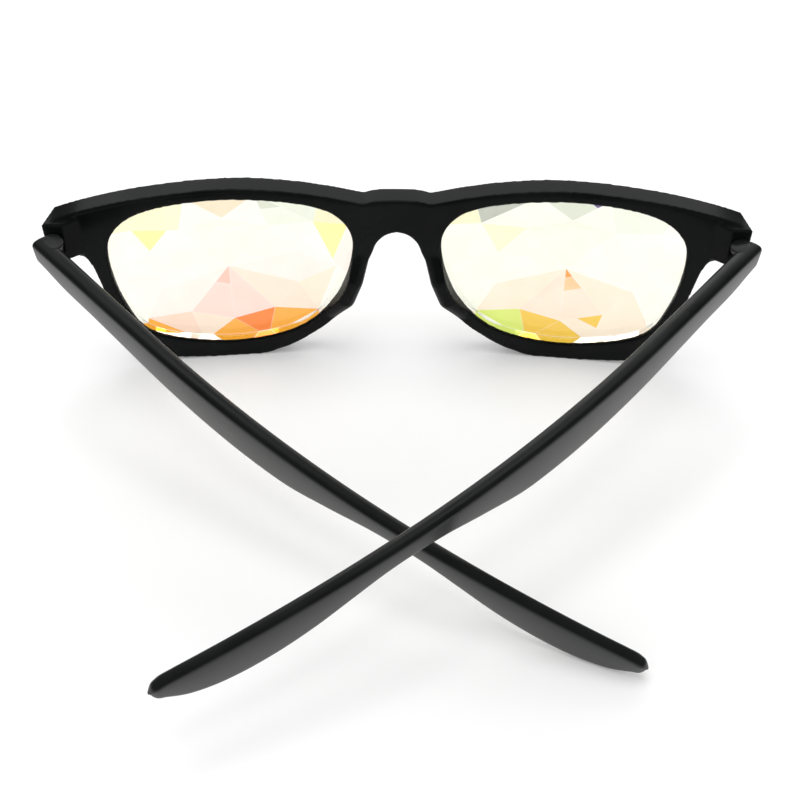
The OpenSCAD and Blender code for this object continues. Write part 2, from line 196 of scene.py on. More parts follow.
def mesh_object(name, points, faces):
    mesh = bpy.data.meshes.new(name)
    mesh.from_pydata([tuple(p) for p in points], [], [tuple(f) for f in faces])
    mesh.update()
    return placed(name, mesh)


def merged_copy(node, name):
    """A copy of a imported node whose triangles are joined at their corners."""
    mesh = frame["nodes"][node].data.copy()
    mesh.name = name
    bm = bmesh.new()
    bm.from_mesh(mesh)
    bmesh.ops.remove_doubles(bm, verts=bm.verts, dist=MERGE)
    bm.to_mesh(mesh)
    bm.free()
    mesh.materials.clear()
    return placed(name, mesh)


def baked(obj):
    """Applies the modifiers of obj into its mesh."""
    bpy.context.view_layer.update()
    depsgraph = bpy.context.evaluated_depsgraph_get()
    mesh = bpy.data.meshes.new_from_object(obj.evaluated_get(depsgraph))
    if not mesh.polygons:
        raise RuntimeError(obj.name + " came out empty")
    obj.modifiers.clear()
    obj.data = mesh
    return obj


def even_skin(obj, voxel):
    """Turns a closed mesh into an even skin of small faces."""
    remesh = obj.modifiers.new("skin", "REMESH")
    remesh.mode = "VOXEL"
    remesh.voxel_size = voxel
    remesh.use_smooth_shade = True
    return baked(obj)


def softened(obj, passes):
    """Rounds edges by moving each point half way to the middle of its neighbours, again and again."""
    mesh = obj.data
    total = len(mesh.vertices)
    places = np.empty(total * 3)
    mesh.vertices.foreach_get("co", places)
    places = places.reshape(-1, 3)
    edges = np.empty(len(mesh.edges) * 2, int)
    mesh.edges.foreach_get("vertices", edges)
    one, other = edges.reshape(-1, 2).T
    count = np.bincount(one, minlength=total) + np.bincount(other, minlength=total)
    for _ in range(passes):
        beside = np.empty_like(places)
        for k in range(3):
            beside[:, k] = (np.bincount(one, places[other, k], total)
                            + np.bincount(other, places[one, k], total))
        places += 0.5 * (beside / count[:, None] - places)
    mesh.vertices.foreach_set("co", places.ravel())
    mesh.update()
    return obj


def thinned(obj, most):
    """Collapses faces, those of flat places first, down to most triangles."""
    triangles = sum(len(p.vertices) - 2 for p in obj.data.polygons)
    if triangles > most:
        collapse = obj.modifiers.new("thin", "DECIMATE")
        collapse.ratio = most / triangles
        baked(obj)
    return obj


def kept_inside(obj, node):
    """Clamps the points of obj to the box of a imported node."""
    corners = np.array([v.co for v in node.data.vertices])
    places = np.empty(len(obj.data.vertices) * 3)
    obj.data.vertices.foreach_get("co", places)
    places = np.clip(places.reshape(-1, 3), corners.min(0), corners.max(0))
    obj.data.vertices.foreach_set("co", places.ravel())
    obj.data.update()


def smooth_shading(obj, smooth):
    obj.data.polygons.foreach_set("use_smooth", [smooth] * len(obj.data.polygons))
    obj.data.update()


def outward(obj):
    """Merges doubles and turns all faces outwards."""
    bm = bmesh.new()
    bm.from_mesh(obj.data)
    bmesh.ops.remove_doubles(bm, verts=bm.verts, dist=MERGE)
    bmesh.ops.recalc_face_normals(bm, faces=bm.faces)
    bm.to_mesh(obj.data)
    bm.free()
    return obj


# Materials


class Finish:
    """A material with a Principled shader and short ways to add nodes."""

    def __init__(self, name):
        self.material = bpy.data.materials.new(name)
        self.material.use_nodes = True
        self.tree = self.material.node_tree
        self.shader = self.tree.nodes["Principled BSDF"]
        self.place = self.node("ShaderNodeTexCoord").outputs["Object"]

    def node(self, kind, **values):
        made = self.tree.nodes.new(kind)
        for key, value in values.items():
            setattr(made, key, value)
        return made

    def link(self, a, b):
        self.tree.links.new(a, b)

    def drive(self, key, value):
        """Gives an input of the shader a value that changes over the surface."""
        self.link(value, self.shader.inputs[key])

    def set(self, **values):
        for key, value in values.items():
            self.shader.inputs[key.replace("_", " ")].default_value = value

    def noise(self, scale, detail, stretch=None):
        """Noise over Object coordinates, with scale in cells per metre."""
        made = self.node("ShaderNodeTexNoise")
        made.inputs["Scale"].default_value = scale
        made.inputs["Detail"].default_value = detail
        source = self.place
        if stretch:
            mapping = self.node("ShaderNodeMapping")
            mapping.inputs["Scale"].default_value = stretch
            self.link(source, mapping.inputs["Vector"])
            source = mapping.outputs["Vector"]
        self.link(source, made.inputs["Vector"])
        return made.outputs["Fac"]

    def remap(self, value, low, high, to_low=0.0, to_high=1.0):
        made = self.node("ShaderNodeMapRange")
        ends = {"From Min": low, "From Max": high, "To Min": to_low, "To Max": to_high}
        for key, number in ends.items():
            made.inputs[key].default_value = number
        self.link(value, made.inputs["Value"])
        return made.outputs["Result"]

    def mix(self, share, a, b):
        """Colour between a and b."""
        made = self.node("ShaderNodeMix", data_type="RGBA")
        self.link(share, made.inputs[0])
        made.inputs[6].default_value = (*a, 1.0)
        made.inputs[7].default_value = (*b, 1.0)
        return made.outputs[2]

    def bump(self, height, depth, strength):
        made = self.node("ShaderNodeBump")
        made.inputs["Distance"].default_value = depth
        made.inputs["Strength"].default_value = strength
        self.link(height, made.inputs["Height"])
        self.drive("Normal", made.outputs["Normal"])


# Cells per metre of the smudges and the moulded grain, of the turning marks, and of the haze in a lens
SMUDGES, GRAIN, MARKS, HAZE = 70.0, 2600.0, 900.0, 160.0
# Between these Facing values of Layer Weight the front's gloss falls to nothing
EDGE_ON = (0.55, 0.85)


def plastic(name, colour, roughness, gloss, painted_lower_sheen=None):
    """Black moulded plastic: faint grain, smudges and a slight change of tone.

    The gloss falls to nothing where the surface is seen edge-on. With painted_lower_sheen it goes from that at a
    blade's lower edge to gloss at its top edge instead: a painted sheen that lightens the lower edge in place of
    the light that its curved side would catch.
    """
    finish = Finish(name)
    smudge = finish.noise(SMUDGES, detail=4.0)
    grain = finish.noise(GRAIN, detail=2.0)
    worn = [c * 1.7 + 0.001 for c in colour]
    finish.drive("Base Color", finish.mix(finish.remap(smudge, low=0.35, high=0.7), colour, worn))
    finish.drive("Roughness", finish.remap(smudge, 0.3, 0.7, *roughness))
    finish.set(Specular_IOR_Level=gloss)
    if painted_lower_sheen is None:
        edge = finish.node("ShaderNodeLayerWeight")
        level = finish.remap(edge.outputs["Facing"], *EDGE_ON, gloss, 0.0)
    else:
        # Painted sheen: more gloss towards the lower edge, in place of the light that the curved side catches
        # there
        height = finish.node("ShaderNodeAttribute", attribute_name="level")
        level = finish.remap(height.outputs["Fac"], -1.0, 1.0, painted_lower_sheen, gloss)
    finish.drive("Specular IOR Level", level)
    finish.bump(grain, depth=0.00001, strength=0.35)
    return finish.material


def hinge_metal(name, colour, roughness):
    """Dark plated metal with fine turning marks."""
    finish = Finish(name)
    marks = finish.noise(MARKS, detail=2.0, stretch=(1.0, 1.0, 6.0))
    bright = [min(1.0, c * 1.5) for c in colour]
    finish.drive("Base Color", finish.mix(finish.remap(marks, low=0.3, high=0.7), colour, bright))
    finish.drive("Roughness", finish.remap(marks, 0.3, 0.7, roughness, roughness + 0.15))
    finish.set(Metallic=1.0)
    finish.bump(marks, depth=0.000008, strength=0.5)
    return finish.material


def lens_plastic(name):
    """Clear plastic tinted facet by facet, with a faint haze."""
    finish = Finish(name)
    tint = finish.node("ShaderNodeAttribute", attribute_name="tint")
    haze = finish.noise(HAZE, detail=3.0)
    deeper = finish.node("ShaderNodeMix", data_type="RGBA", blend_type="MULTIPLY")
    deeper.inputs[7].default_value = (0.97, 0.93, 0.90, 1.0)
    finish.link(finish.remap(haze, low=0.35, high=0.75), deeper.inputs[0])
    finish.link(tint.outputs["Color"], deeper.inputs[6])
    finish.drive("Base Color", deeper.outputs[2])
    finish.drive("Roughness", finish.remap(haze, 0.3, 0.7, 0.02, 0.05))
    finish.set(Transmission_Weight=1.0, IOR=1.49)
    return finish.material


# Front


class GLASSES_OT_front(bpy.types.Operator):
    """Rounds the moulded front"""

    bl_idname = "glasses.front"
    bl_label = "Front"

    def execute(self, context):
        settings = context.scene.glasses_front
        front = even_skin(merged_copy("front_frame", "moulded_front"), settings.voxel)
        softened(front, settings.softness)
        thinned(front, settings.triangles)
        kept_inside(front, frame["nodes"]["front_frame"])
        smooth_shading(front, True)
        finish = plastic("front_plastic", settings.colour, roughness=(0.16, 0.3), gloss=0.08)
        front.data.materials.append(finish)
        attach(front, "front")
        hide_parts("front_frame")
        return {"FINISHED"}


# Temples


# Height of the blade at shares of its length, as multiples of the heights below
BLADE = [
    (-0.03, "hinge", 0.72), (0.0, "hinge", 0.8), (0.03, "hinge", 0.94), (0.1, "hinge", 1.03),
    (0.27, "deep", 0.935), (0.42, "deep", 1.0), (0.465, "deep", 0.97),
    (0.54, "waist", 1.39), (0.61, "waist", 1.02), (0.69, "waist", 1.0), (0.74, "waist", 1.24),
    (0.79, "hook", 0.9), (0.85, "hook", 1.0), (0.89, "hook", 0.99), (0.93, "hook", 0.89),
    (0.957, "hook", 0.74), (0.98, "hook", 0.52), (0.995, "hook", 0.36), (1.0, "hook", 0.23),
]
HEIGHTS = {"hinge": 0.0066, "deep": 0.0091, "waist": 0.0049, "hook": 0.0083}
# Fall of the top edge near the tip, in shares of the length and of the hook's height
TIP_TOP = [(0.965, 0.0), (0.988, 0.04), (0.997, 0.12), (1.0, 0.23)]
# Share of the length where the blade starts to droop, and how far it does at the tip
DROOP_FROM = 0.66
TIP_DROOP = 0.0011
# Length of the spoon-like end of the tip in plan, and radius of the hinge end's corners
SPOON = 0.0022
END_ROUND = 0.0004
# Share of the length with closer points at the tip, length of those at the hinge end, and the points of the
# hinge end, the body and the tip
CLOSE_TIP = 0.07
CLOSE_END = 0.0009
END_POINTS, BODY_POINTS, TIP_POINTS = 8, 120, 44
# The section is nowhere thinner than twice this
LEAST_HALF = 0.00015
# Points round the section, how strongly they gather near its corners, and its most rounding as a share of the
# smaller half size
SECTION_POINTS = 72
GATHERING = 1.8
FULL_ROUND = 0.96
# Height of a temple's top edge at the hinge above the middle of the barrels
TOP_ABOVE_BARRELS = 0.00351
# A temple's inner side outwards of the hinge axis, and its end in front of the axis
TEMPLE_IN = -0.0001
TEMPLE_END = 0.00245
# Room round the barrels, and the notch for the front leaf's plate as two corners from the axis
ROOM_R = 0.0017
ROOM_HALF = 0.00253
NOTCH = ((-0.0015, 0.0, -0.0017), (0.0018, 0.007, 0.0017))
# Knuckle over the barrels: radius, rounding of its edge, and how far its round end is drawn forwards
KNUCKLE_R = 0.0019
KNUCKLE_SOFT = 0.00025
KNUCKLE_LONG = 0.0003
# Facts that the path and the section carry for the sweep, which the finished temple doesn't need
PATH_FACTS = ("centre", "side", "half_thick", "half_high", "ring")


def smooth_through(xs, ys, x):
    """Value at x of a smooth curve through the points."""
    xs, ys = np.asarray(xs), np.asarray(ys)
    slopes = np.gradient(ys, xs)
    i = np.clip(np.searchsorted(xs, x) - 1, 0, len(xs) - 2)
    step = xs[i + 1] - xs[i]
    t = np.clip((x - xs[i]) / step, 0, 1)
    return ((2 * t ** 3 - 3 * t ** 2 + 1) * ys[i] + (t ** 3 - 2 * t ** 2 + t) * step * slopes[i]
            + (3 * t ** 2 - 2 * t ** 3) * ys[i + 1] + (t ** 3 - t ** 2) * step * slopes[i + 1])


def quarter_circle(share):
    """Height of a quarter circle of radius 1, going in from its rim, and 1 beyond its middle."""
    return np.sqrt(np.clip(1.0 - (1.0 - np.clip(share, 0.0, 1.0)) ** 2, 0.0, 1.0))


def blade_path(settings, axis, top_z):
    """Centre line of an open right temple, with the sideways direction and the half sizes of its section."""
    length, straight = settings.length, settings.straight
    bow_r = (length - straight) / settings.bow
    # Places along the top edge in shares of its length, closer together at both ends
    start = -TEMPLE_END / length
    end = start + CLOSE_END / length * np.linspace(0, 1, END_POINTS)[1:-1] ** 2
    body = np.linspace(start, 1.0 - CLOSE_TIP, BODY_POINTS)
    tip = 1.0 - CLOSE_TIP * (1.0 - np.linspace(0.0, 1.0, TIP_POINTS)[1:]) ** 2
    share = np.concatenate([[start], end, body[1:], tip])[:-1]
    along = np.maximum(share, 0.0) * length
    ahead = np.minimum(share, 0.0) * length
    # The blade runs back, bows inwards and slopes down
    turn = settings.bow * np.maximum(0.0, along - straight) / (length - straight)
    level = math.cos(settings.slope)
    back = level * (np.minimum(along, straight) + bow_r * np.sin(turn)) + ahead
    inward = level * bow_r * (1.0 - np.cos(turn))
    drop = math.sin(settings.slope) * along + math.tan(settings.slope) * ahead
    drop += TIP_DROOP * (np.maximum(0.0, share - DROOP_FROM) / (1.0 - DROOP_FROM)) ** 2
    # Depths of its lower and top edges, and its thickness
    low = smooth_through([b[0] for b in BLADE], [HEIGHTS[b[1]] * b[2] for b in BLADE], share)
    near_tip = np.maximum(share, TIP_TOP[0][0])
    high = HEIGHTS["hook"] * smooth_through([p[0] for p in TIP_TOP], [p[1] for p in TIP_TOP], near_tip)
    thick = settings.thickness + (settings.tip_thickness - settings.thickness) * along / length
    # The tip closes in plan like the end of a spoon, and the hinge end has small round corners
    close = quarter_circle((1.0 - share) * length / SPOON)
    corner = END_ROUND * (1.0 - quarter_circle((share - start) * length / END_ROUND))
    half_thick = thick / 2 * close * (1.0 - corner / (thick / 2))
    half_high = (low - high) / 2 - corner
    centre = np.column_stack([
        axis.x + TEMPLE_IN - inward + thick / 2 * np.cos(turn),
        axis.y - back - thick / 2 * np.sin(turn),
        top_z - drop - (low + high) / 2])
    side = np.column_stack([np.cos(turn), -np.sin(turn), np.zeros(len(share))])
    return centre, side, np.maximum(half_thick, LEAST_HALF), np.maximum(half_high, LEAST_HALF)


class Rules:
    """A Geometry Nodes tree and short ways to fill it."""

    def __init__(self, name, inputs):
        self.tree = bpy.data.node_groups.new(name, "GeometryNodeTree")
        sockets = self.tree.interface
        sockets.new_socket("Geometry", in_out="INPUT", socket_type="NodeSocketGeometry")
        self.sockets = {}
        for label, (kind, default) in inputs.items():
            made = sockets.new_socket(label, in_out="INPUT", socket_type=kind)
            made.default_value = default
            self.sockets[label] = made.identifier
        sockets.new_socket("Geometry", in_out="OUTPUT", socket_type="NodeSocketGeometry")
        self.start = self.tree.nodes.new("NodeGroupInput")
        self.end = self.tree.nodes.new("NodeGroupOutput")

    def node(self, kind, inputs=None, **values):
        made = self.tree.nodes.new(kind)
        for key, value in values.items():
            setattr(made, key, value)
        for key, value in (inputs or {}).items():
            if isinstance(value, bpy.types.NodeSocket):
                self.tree.links.new(value, made.inputs[key])
            else:
                made.inputs[key].default_value = value
        return made

    def math(self, operation, *values):
        return self.node("ShaderNodeMath", dict(enumerate(values)), operation=operation).outputs[0]

    def vector(self, operation, *values):
        made = self.node("ShaderNodeVectorMath", dict(enumerate(values)), operation=operation)
        return made.outputs["Vector"]

    def scaled(self, vector, number):
        made = self.node("ShaderNodeVectorMath", {0: vector, "Scale": number}, operation="SCALE")
        return made.outputs["Vector"]

    def attribute(self, name, kind):
        made = self.node("GeometryNodeInputNamedAttribute", {"Name": name}, data_type=kind)
        return made.outputs["Attribute"]

    def stored(self, geometry, name, value, kind):
        """Keeps a value on the points of a geometry under a name."""
        inputs = {"Geometry": geometry, "Name": name, "Value": value}
        made = self.node("GeometryNodeStoreNamedAttribute", inputs, data_type=kind, domain="POINT")
        return made.outputs[0]

    def finish(self, geometry, material):
        """Ends the tree in Realize Instances and Set Material."""
        real = self.node("GeometryNodeRealizeInstances", {"Geometry": geometry})
        inputs = {"Geometry": real.outputs[0], "Material": material}
        dressed = self.node("GeometryNodeSetMaterial", inputs)
        self.tree.links.new(dressed.outputs[0], self.end.inputs[0])

    def apply(self, obj, **values):
        modifier = obj.modifiers.new("rules", "NODES")
        modifier.node_group = self.tree
        for label, value in values.items():
            modifier[self.sockets[label.replace("_", " ")]] = value
        return baked(obj)


def blade_rules(material, settings):
    """Sweeps a rounded section along a path that carries its own half sizes."""
    rules = Rules("Blade sweep", {
        "Section Points": ("NodeSocketInt", SECTION_POINTS),
        "Edge Radius": ("NodeSocketFloat", settings.edge),
        "Crown": ("NodeSocketFloat", settings.crown),
        "Top Crown": ("NodeSocketFloat", settings.top_crown),
    })
    given = rules.start.outputs
    path = rules.node("GeometryNodeMeshToCurve", {"Mesh": given["Geometry"]})
    ring = rules.node("GeometryNodeCurvePrimitiveCircle", {
        "Resolution": given["Section Points"], "Radius": 1.0})
    # The section's own direction is kept on its points, and goes with them along the path
    direction = rules.node("GeometryNodeInputPosition").outputs[0]
    kept = rules.stored(ring.outputs[0], "ring", direction, "FLOAT_VECTOR")
    swept = rules.node("GeometryNodeCurveToMesh", {
        "Curve": path.outputs[0], "Profile Curve": kept, "Fill Caps": True})
    around = rules.node("ShaderNodeSeparateXYZ", {0: rules.attribute("ring", "FLOAT_VECTOR")})
    ring_x, ring_y = around.outputs[0], around.outputs[1]
    largest = rules.math("MAXIMUM", rules.math("ABSOLUTE", ring_x), rules.math("ABSOLUTE", ring_y))
    half_thick = rules.attribute("half_thick", "FLOAT")
    half_high = rules.attribute("half_high", "FLOAT")
    widest = rules.math("MULTIPLY", rules.math("MINIMUM", half_thick, half_high), FULL_ROUND)
    radius = rules.math("MINIMUM", given["Edge Radius"], widest)

    def on_box(value, half):
        """Place on the side of a box, with more points near its corners."""
        share = rules.math("DIVIDE", value, largest)
        rest = rules.math("MAXIMUM", rules.math("SUBTRACT", 1.0, rules.math("ABSOLUTE", share)), 0.0)
        size = rules.math("SUBTRACT", 1.0, rules.math("POWER", rest, GATHERING))
        return rules.math("MULTIPLY", rules.math("MULTIPLY", size, rules.math("SIGN", share)), half)

    def core(value, half):
        """Nearest place on the box that is left inside the rounding."""
        reach = rules.math("SUBTRACT", half, radius)
        return rules.math("MAXIMUM", rules.math("MINIMUM", value, reach), rules.math("MULTIPLY", reach, -1.0))

    box_x, box_y = on_box(ring_x, half_thick), on_box(ring_y, half_high)
    core_x, core_y = core(box_x, half_thick), core(box_y, half_high)
    out = rules.node("ShaderNodeCombineXYZ", {
        0: rules.math("SUBTRACT", box_x, core_x), 1: rules.math("SUBTRACT", box_y, core_y)})
    arc = rules.node("ShaderNodeSeparateXYZ", {0: rules.vector("NORMALIZE", out.outputs[0])})
    off_x = rules.math("ADD", core_x, rules.math("MULTIPLY", arc.outputs[0], radius))
    off_y = rules.math("ADD", core_y, rules.math("MULTIPLY", arc.outputs[1], radius))
    # Crown: the sides curve inwards towards the lower edge
    level = rules.math("DIVIDE", off_y, half_high)
    lower = rules.math("MULTIPLY", rules.math("SUBTRACT", 1.0, level), 0.5)
    bulge = rules.math("MULTIPLY", rules.math("MULTIPLY", lower, lower), given["Crown"])
    off_x = rules.math("SUBTRACT", off_x, rules.math("MULTIPLY", bulge, rules.math("SIGN", off_x)))
    # Top crown: the top edge falls to its two sides
    across = rules.math("DIVIDE", off_x, half_thick)
    fall = rules.math("MULTIPLY", rules.math("MULTIPLY", across, across), given["Top Crown"])
    upper = rules.math("MAXIMUM", level, 0.0)
    off_y = rules.math("SUBTRACT", off_y, rules.math("MULTIPLY", fall, upper))
    sideways = rules.scaled(rules.attribute("side", "FLOAT_VECTOR"), off_x)
    upward = rules.node("ShaderNodeCombineXYZ", {2: off_y}).outputs[0]
    place = rules.vector("ADD", rules.attribute("centre", "FLOAT_VECTOR"), sideways)
    place = rules.vector("ADD", place, upward)
    moved = rules.node("GeometryNodeSetPosition", {"Geometry": swept.outputs[0], "Position": place})
    rules.finish(rules.stored(moved.outputs[0], "level", level, "FLOAT"), material)
    return rules


def path_object(name, centre, side, half_thick, half_high):
    """A line of points that carries the facts of the sweep."""
    mesh = bpy.data.meshes.new(name)
    mesh.from_pydata([tuple(p) for p in centre], [(i, i + 1) for i in range(len(centre) - 1)], [])
    facts = {"centre": centre, "side": side, "half_thick": half_thick, "half_high": half_high}
    for label, values in facts.items():
        kind, field = ("FLOAT_VECTOR", "vector") if values.ndim == 2 else ("FLOAT", "value")
        attribute = mesh.attributes.new(label, kind, "POINT")
        attribute.data.foreach_set(field, np.asarray(values, np.float32).ravel())
    return placed(name, mesh)


def cut_away(obj, cutter):
    """Takes the solid in the bmesh cutter away from obj."""
    mesh = bpy.data.meshes.new("cutter")
    cutter.to_mesh(mesh)
    cutter.free()
    tool = placed("cutter", mesh)
    difference = obj.modifiers.new("cut", "BOOLEAN")
    difference.operation = "DIFFERENCE"
    difference.solver = "MANIFOLD"
    difference.object = tool
    baked(obj)
    bpy.data.objects.remove(tool)


def cut_hinge_room(temple, hinge):
    """Clears the barrels and lets the front leaf's plate pass; hinge is the place of the barrels' middle."""
    room = bmesh.new()
    bmesh.ops.create_cone(room, cap_ends=True, segments=48, radius1=ROOM_R, radius2=ROOM_R,
                          depth=2 * ROOM_HALF, matrix=hinge)
    cut_away(temple, room)
    low, high = Vector(NOTCH[0]), Vector(NOTCH[1])
    box = Matrix.Translation((low + high) / 2) @ Matrix.Diagonal((*(high - low), 1.0))
    notch = bmesh.new()
    bmesh.ops.create_cube(notch, size=1.0, matrix=hinge @ box)
    cut_away(temple, notch)


def knuckle(name, axis, top_z, slope):
    """Rounded cap on the temple's inner side, over the barrels and flush with the sloping top edge."""
    bottom = axis.z + ROOM_HALF - top_z
    soft = KNUCKLE_SOFT
    profile = [(0.0, bottom), (KNUCKLE_R - soft, bottom)]
    steps = 4
    for k in range(steps + 1):
        turn = math.radians(90 * k / steps)
        profile.append((KNUCKLE_R - soft + soft * math.cos(turn), soft * math.sin(turn) - soft))
    profile.append((0.0, 0.0))
    around = 56
    points, faces = [], []
    for r, z in profile:
        for k in range(around):
            turn = 2 * math.pi * k / around
            y = r * math.sin(turn) + (KNUCKLE_LONG if math.sin(turn) > 0 else 0.0)
            points.append((axis.x + r * math.cos(turn), axis.y + y, top_z + z + y * math.tan(slope)))
    for low in range(0, (len(profile) - 1) * around, around):
        high = low + around
        for k in range(around):
            after = (k + 1) % around
            faces.append((low + k, low + after, high + after, high + k))
    return outward(mesh_object(name, points, faces))


def open_temple(node, joint, settings, material):
    """An open right temple and its knuckle, at the height and sideways place of the joint."""
    x, y, z = joint["pos_m"]
    axis = Vector((abs(x), y, z))
    top_z = axis.z + TOP_ABOVE_BARRELS
    temple = path_object("moulded_" + node, *blade_path(settings, axis, top_z))
    rules = blade_rules(material, settings)
    rules.apply(temple, Edge_Radius=settings.edge, Crown=settings.crown, Top_Crown=settings.top_crown)
    outward(temple)
    lean = math.atan2(abs(joint["axis"][0]), abs(joint["axis"][2]))
    cut_hinge_room(temple, Matrix.Translation(axis) @ Matrix.Rotation(lean, 4, "Y"))
    for attribute in [a.name for a in temple.data.attributes if a.name in PATH_FACTS]:
        temple.data.attributes.remove(temple.data.attributes[attribute])
    cap = knuckle(node.replace("temple", "knuckle"), axis, top_z, settings.slope)
    cap.data.materials.append(material)
    return temple, cap


class GLASSES_OT_temples(bpy.types.Operator):
    """Makes the two temples"""

    bl_idname = "glasses.temples"
    bl_label = "Temples"

    def execute(self, context):
        settings = context.scene.glasses_temples
        colour = context.scene.glasses_front.colour
        # The temples' gloss rises towards their lower edges, a painted sheen
        material = plastic("temple_plastic", colour, roughness=(0.26, 0.36), gloss=0.35, painted_lower_sheen=1.0)
        for body, node, fold, mirrored in (("left_arm", "left_temple", LEFT_FOLD, True),
                                           ("right_arm", "right_temple", RIGHT_FOLD, False)):
            joint = HINGE[body]
            temple, cap = open_temple(node, joint, settings, material)
            axis = Matrix.Translation(joint["pos_m"])
            turn = axis @ Matrix.Rotation(math.radians(fold), 4, Vector(joint["axis"])) @ axis.inverted()
            for piece in (temple, cap):
                if mirrored:
                    piece.data.transform(Matrix.Scale(-1, 4, (1, 0, 0)))
                piece.data.transform(turn)
                outward(piece)
                smooth_shading(piece, True)
                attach(piece, body)
            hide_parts(node)
        return {"FINISHED"}


# Lenses


# Tints of the facets by tier, in order round the middle from the picture's right, ten in a tier and twenty at
# the rim
# The grey facets at the top edge of both lenses are painted reflections of the black frame
TINTS = {
    "left_lens": {
        "star": ["blush", "cream", "cream", "cream", "cream",
                 "cream", "blush", "rose", "rose", "rose_sand"],
        "out": ["blush", "cream", "cream", "cream", "cream",
                "cream", "blush", "rose_sand", "orange", "rose_sand"],
        "in": ["cream", "mist", "tan", "straw", "cream",
               "cream", "peach", "amber", "amber", "sand"],
        "rim": ["blush", "blush", "straw", "mist", "painted_frame_reflection", "tan", "painted_frame_reflection", "straw", "straw", "cream",
                "cream", "cream", "cream", "amber", "amber", "amber", "amber", "amber", "sand", "cream"],
    },
    "right_lens": {
        "star": ["cream", "cream", "mint", "mint", "mint",
                 "mint", "sand", "rose_sand", "rose_sand", "sand"],
        "out": ["cream", "cream", "mint", "mint", "straw",
                "mint", "sand", "gold", "sand", "sand"],
        "in": ["cream", "mist", "painted_frame_reflection", "mint", "mint",
               "mint", "lime", "gold", "sand", "cream"],
        "rim": ["cream", "cream", "cream", "mist", "painted_frame_reflection", "mist", "mist", "shade", "straw", "mint",
                "mint", "mint", "mint", "lime", "lime", "gold", "gold", "sand", "cream", "cream"],
    },
}
# Facets with a corner of another tint: tier, place in it, corner, and each cut's share of the edges and tint
GLINTS = {
    "left_lens": [
        ("star", 7, "middle", ((0.34, "coral"),)), ("out", 4, "left", ((0.75, "yellow"),)),
        # The grey corner cut off facet 1 of the left lens's inner tier is a painted reflection of the black frame
        ("rim", 1, "left", ((0.85, "yellow"),)), ("in", 1, "left", ((0.45, "painted_frame_reflection"),))],
    "right_lens": [
        ("star", 8, "middle", ((0.42, "melon"), (0.4, "apricot"))), ("out", 8, "right", ((0.6, "gold"),)),
        ("in", 2, "right", ((0.35, "violet"),))],
}
# First direction of a tier and the step between its facets, in degrees
TIERS = {"star": (0, 36), "out": (0, 36), "in": (18, 36), "rim": (0, 18)}
# Faces within this angle of each other are one facet
FLAT = math.radians(0.2)
# Most that a facet's normal agrees with that of the flat side, and how far a corner on the star's ring may be
# off it, as a share of its radius
FACING_AWAY = -0.5
ON_RING = 0.03
# Share of a facet's tint that its border keeps
BORDER_TINT = 0.7


def joined_facets(bm):
    """Joins the triangles of each flat face."""
    bmesh.ops.dissolve_limit(bm, angle_limit=FLAT, verts=bm.verts, edges=bm.edges, delimit=set(),
                             use_dissolve_boundaries=False)
    bmesh.ops.recalc_face_normals(bm, faces=bm.faces)


def back_face(bm):
    """The flat side of the lens, which faces the wearer."""
    return max(bm.faces, key=lambda f: -f.normal.y * f.calc_area())


def sort_facets(bm, wide):
    """Tier and place of every facet on the faceted side, from its corners on the star's ring."""
    top = max(bm.verts, key=lambda v: v.co.y)
    behind = back_face(bm).normal
    across = Vector((0, 0, 1)).cross(behind).normalized()
    if across.x < 0:
        across.negate()

    def polar(point):
        flat = point - top.co
        x, z = flat.dot(across) / wide, flat.z
        return math.hypot(x, z), math.degrees(math.atan2(z, x)) % 360

    star_r = min(polar(e.other_vert(top).co)[0] for e in top.link_edges)
    found = {}
    for face in bm.faces:
        if face.normal.dot(behind) > FACING_AWAY:
            continue
        near = [v for v in face.verts if abs(polar(v.co)[0] - star_r) < star_r * ON_RING]
        angle = polar(face.calc_center_median())[1]
        if top in face.verts:
            tier = "star"
        elif len(near) == 2:
            tier = "out"
        elif len(near) == 1:
            tier = "in"
            angle = polar(near[0].co)[1]
        else:
            tier = "rim"
        start, step = TIERS[tier]
        found[face] = (tier, round((angle - start) / step) % (360 // step))
    return top, found


def cut_corner(bm, face, corner, share):
    """Cuts a corner off a face across its two edges there, and returns the corner and the rest."""
    edges = [e for e in corner.link_edges if face in e.link_faces]
    ends = [bmesh.utils.edge_split(e, corner, share)[1] for e in edges]
    made = bmesh.utils.face_split(face, ends[0], ends[1])[0]
    return (made, face) if corner in made.verts else (face, made)


def paint(face, layer, colour):
    for loop in face.loops:
        loop[layer] = colour


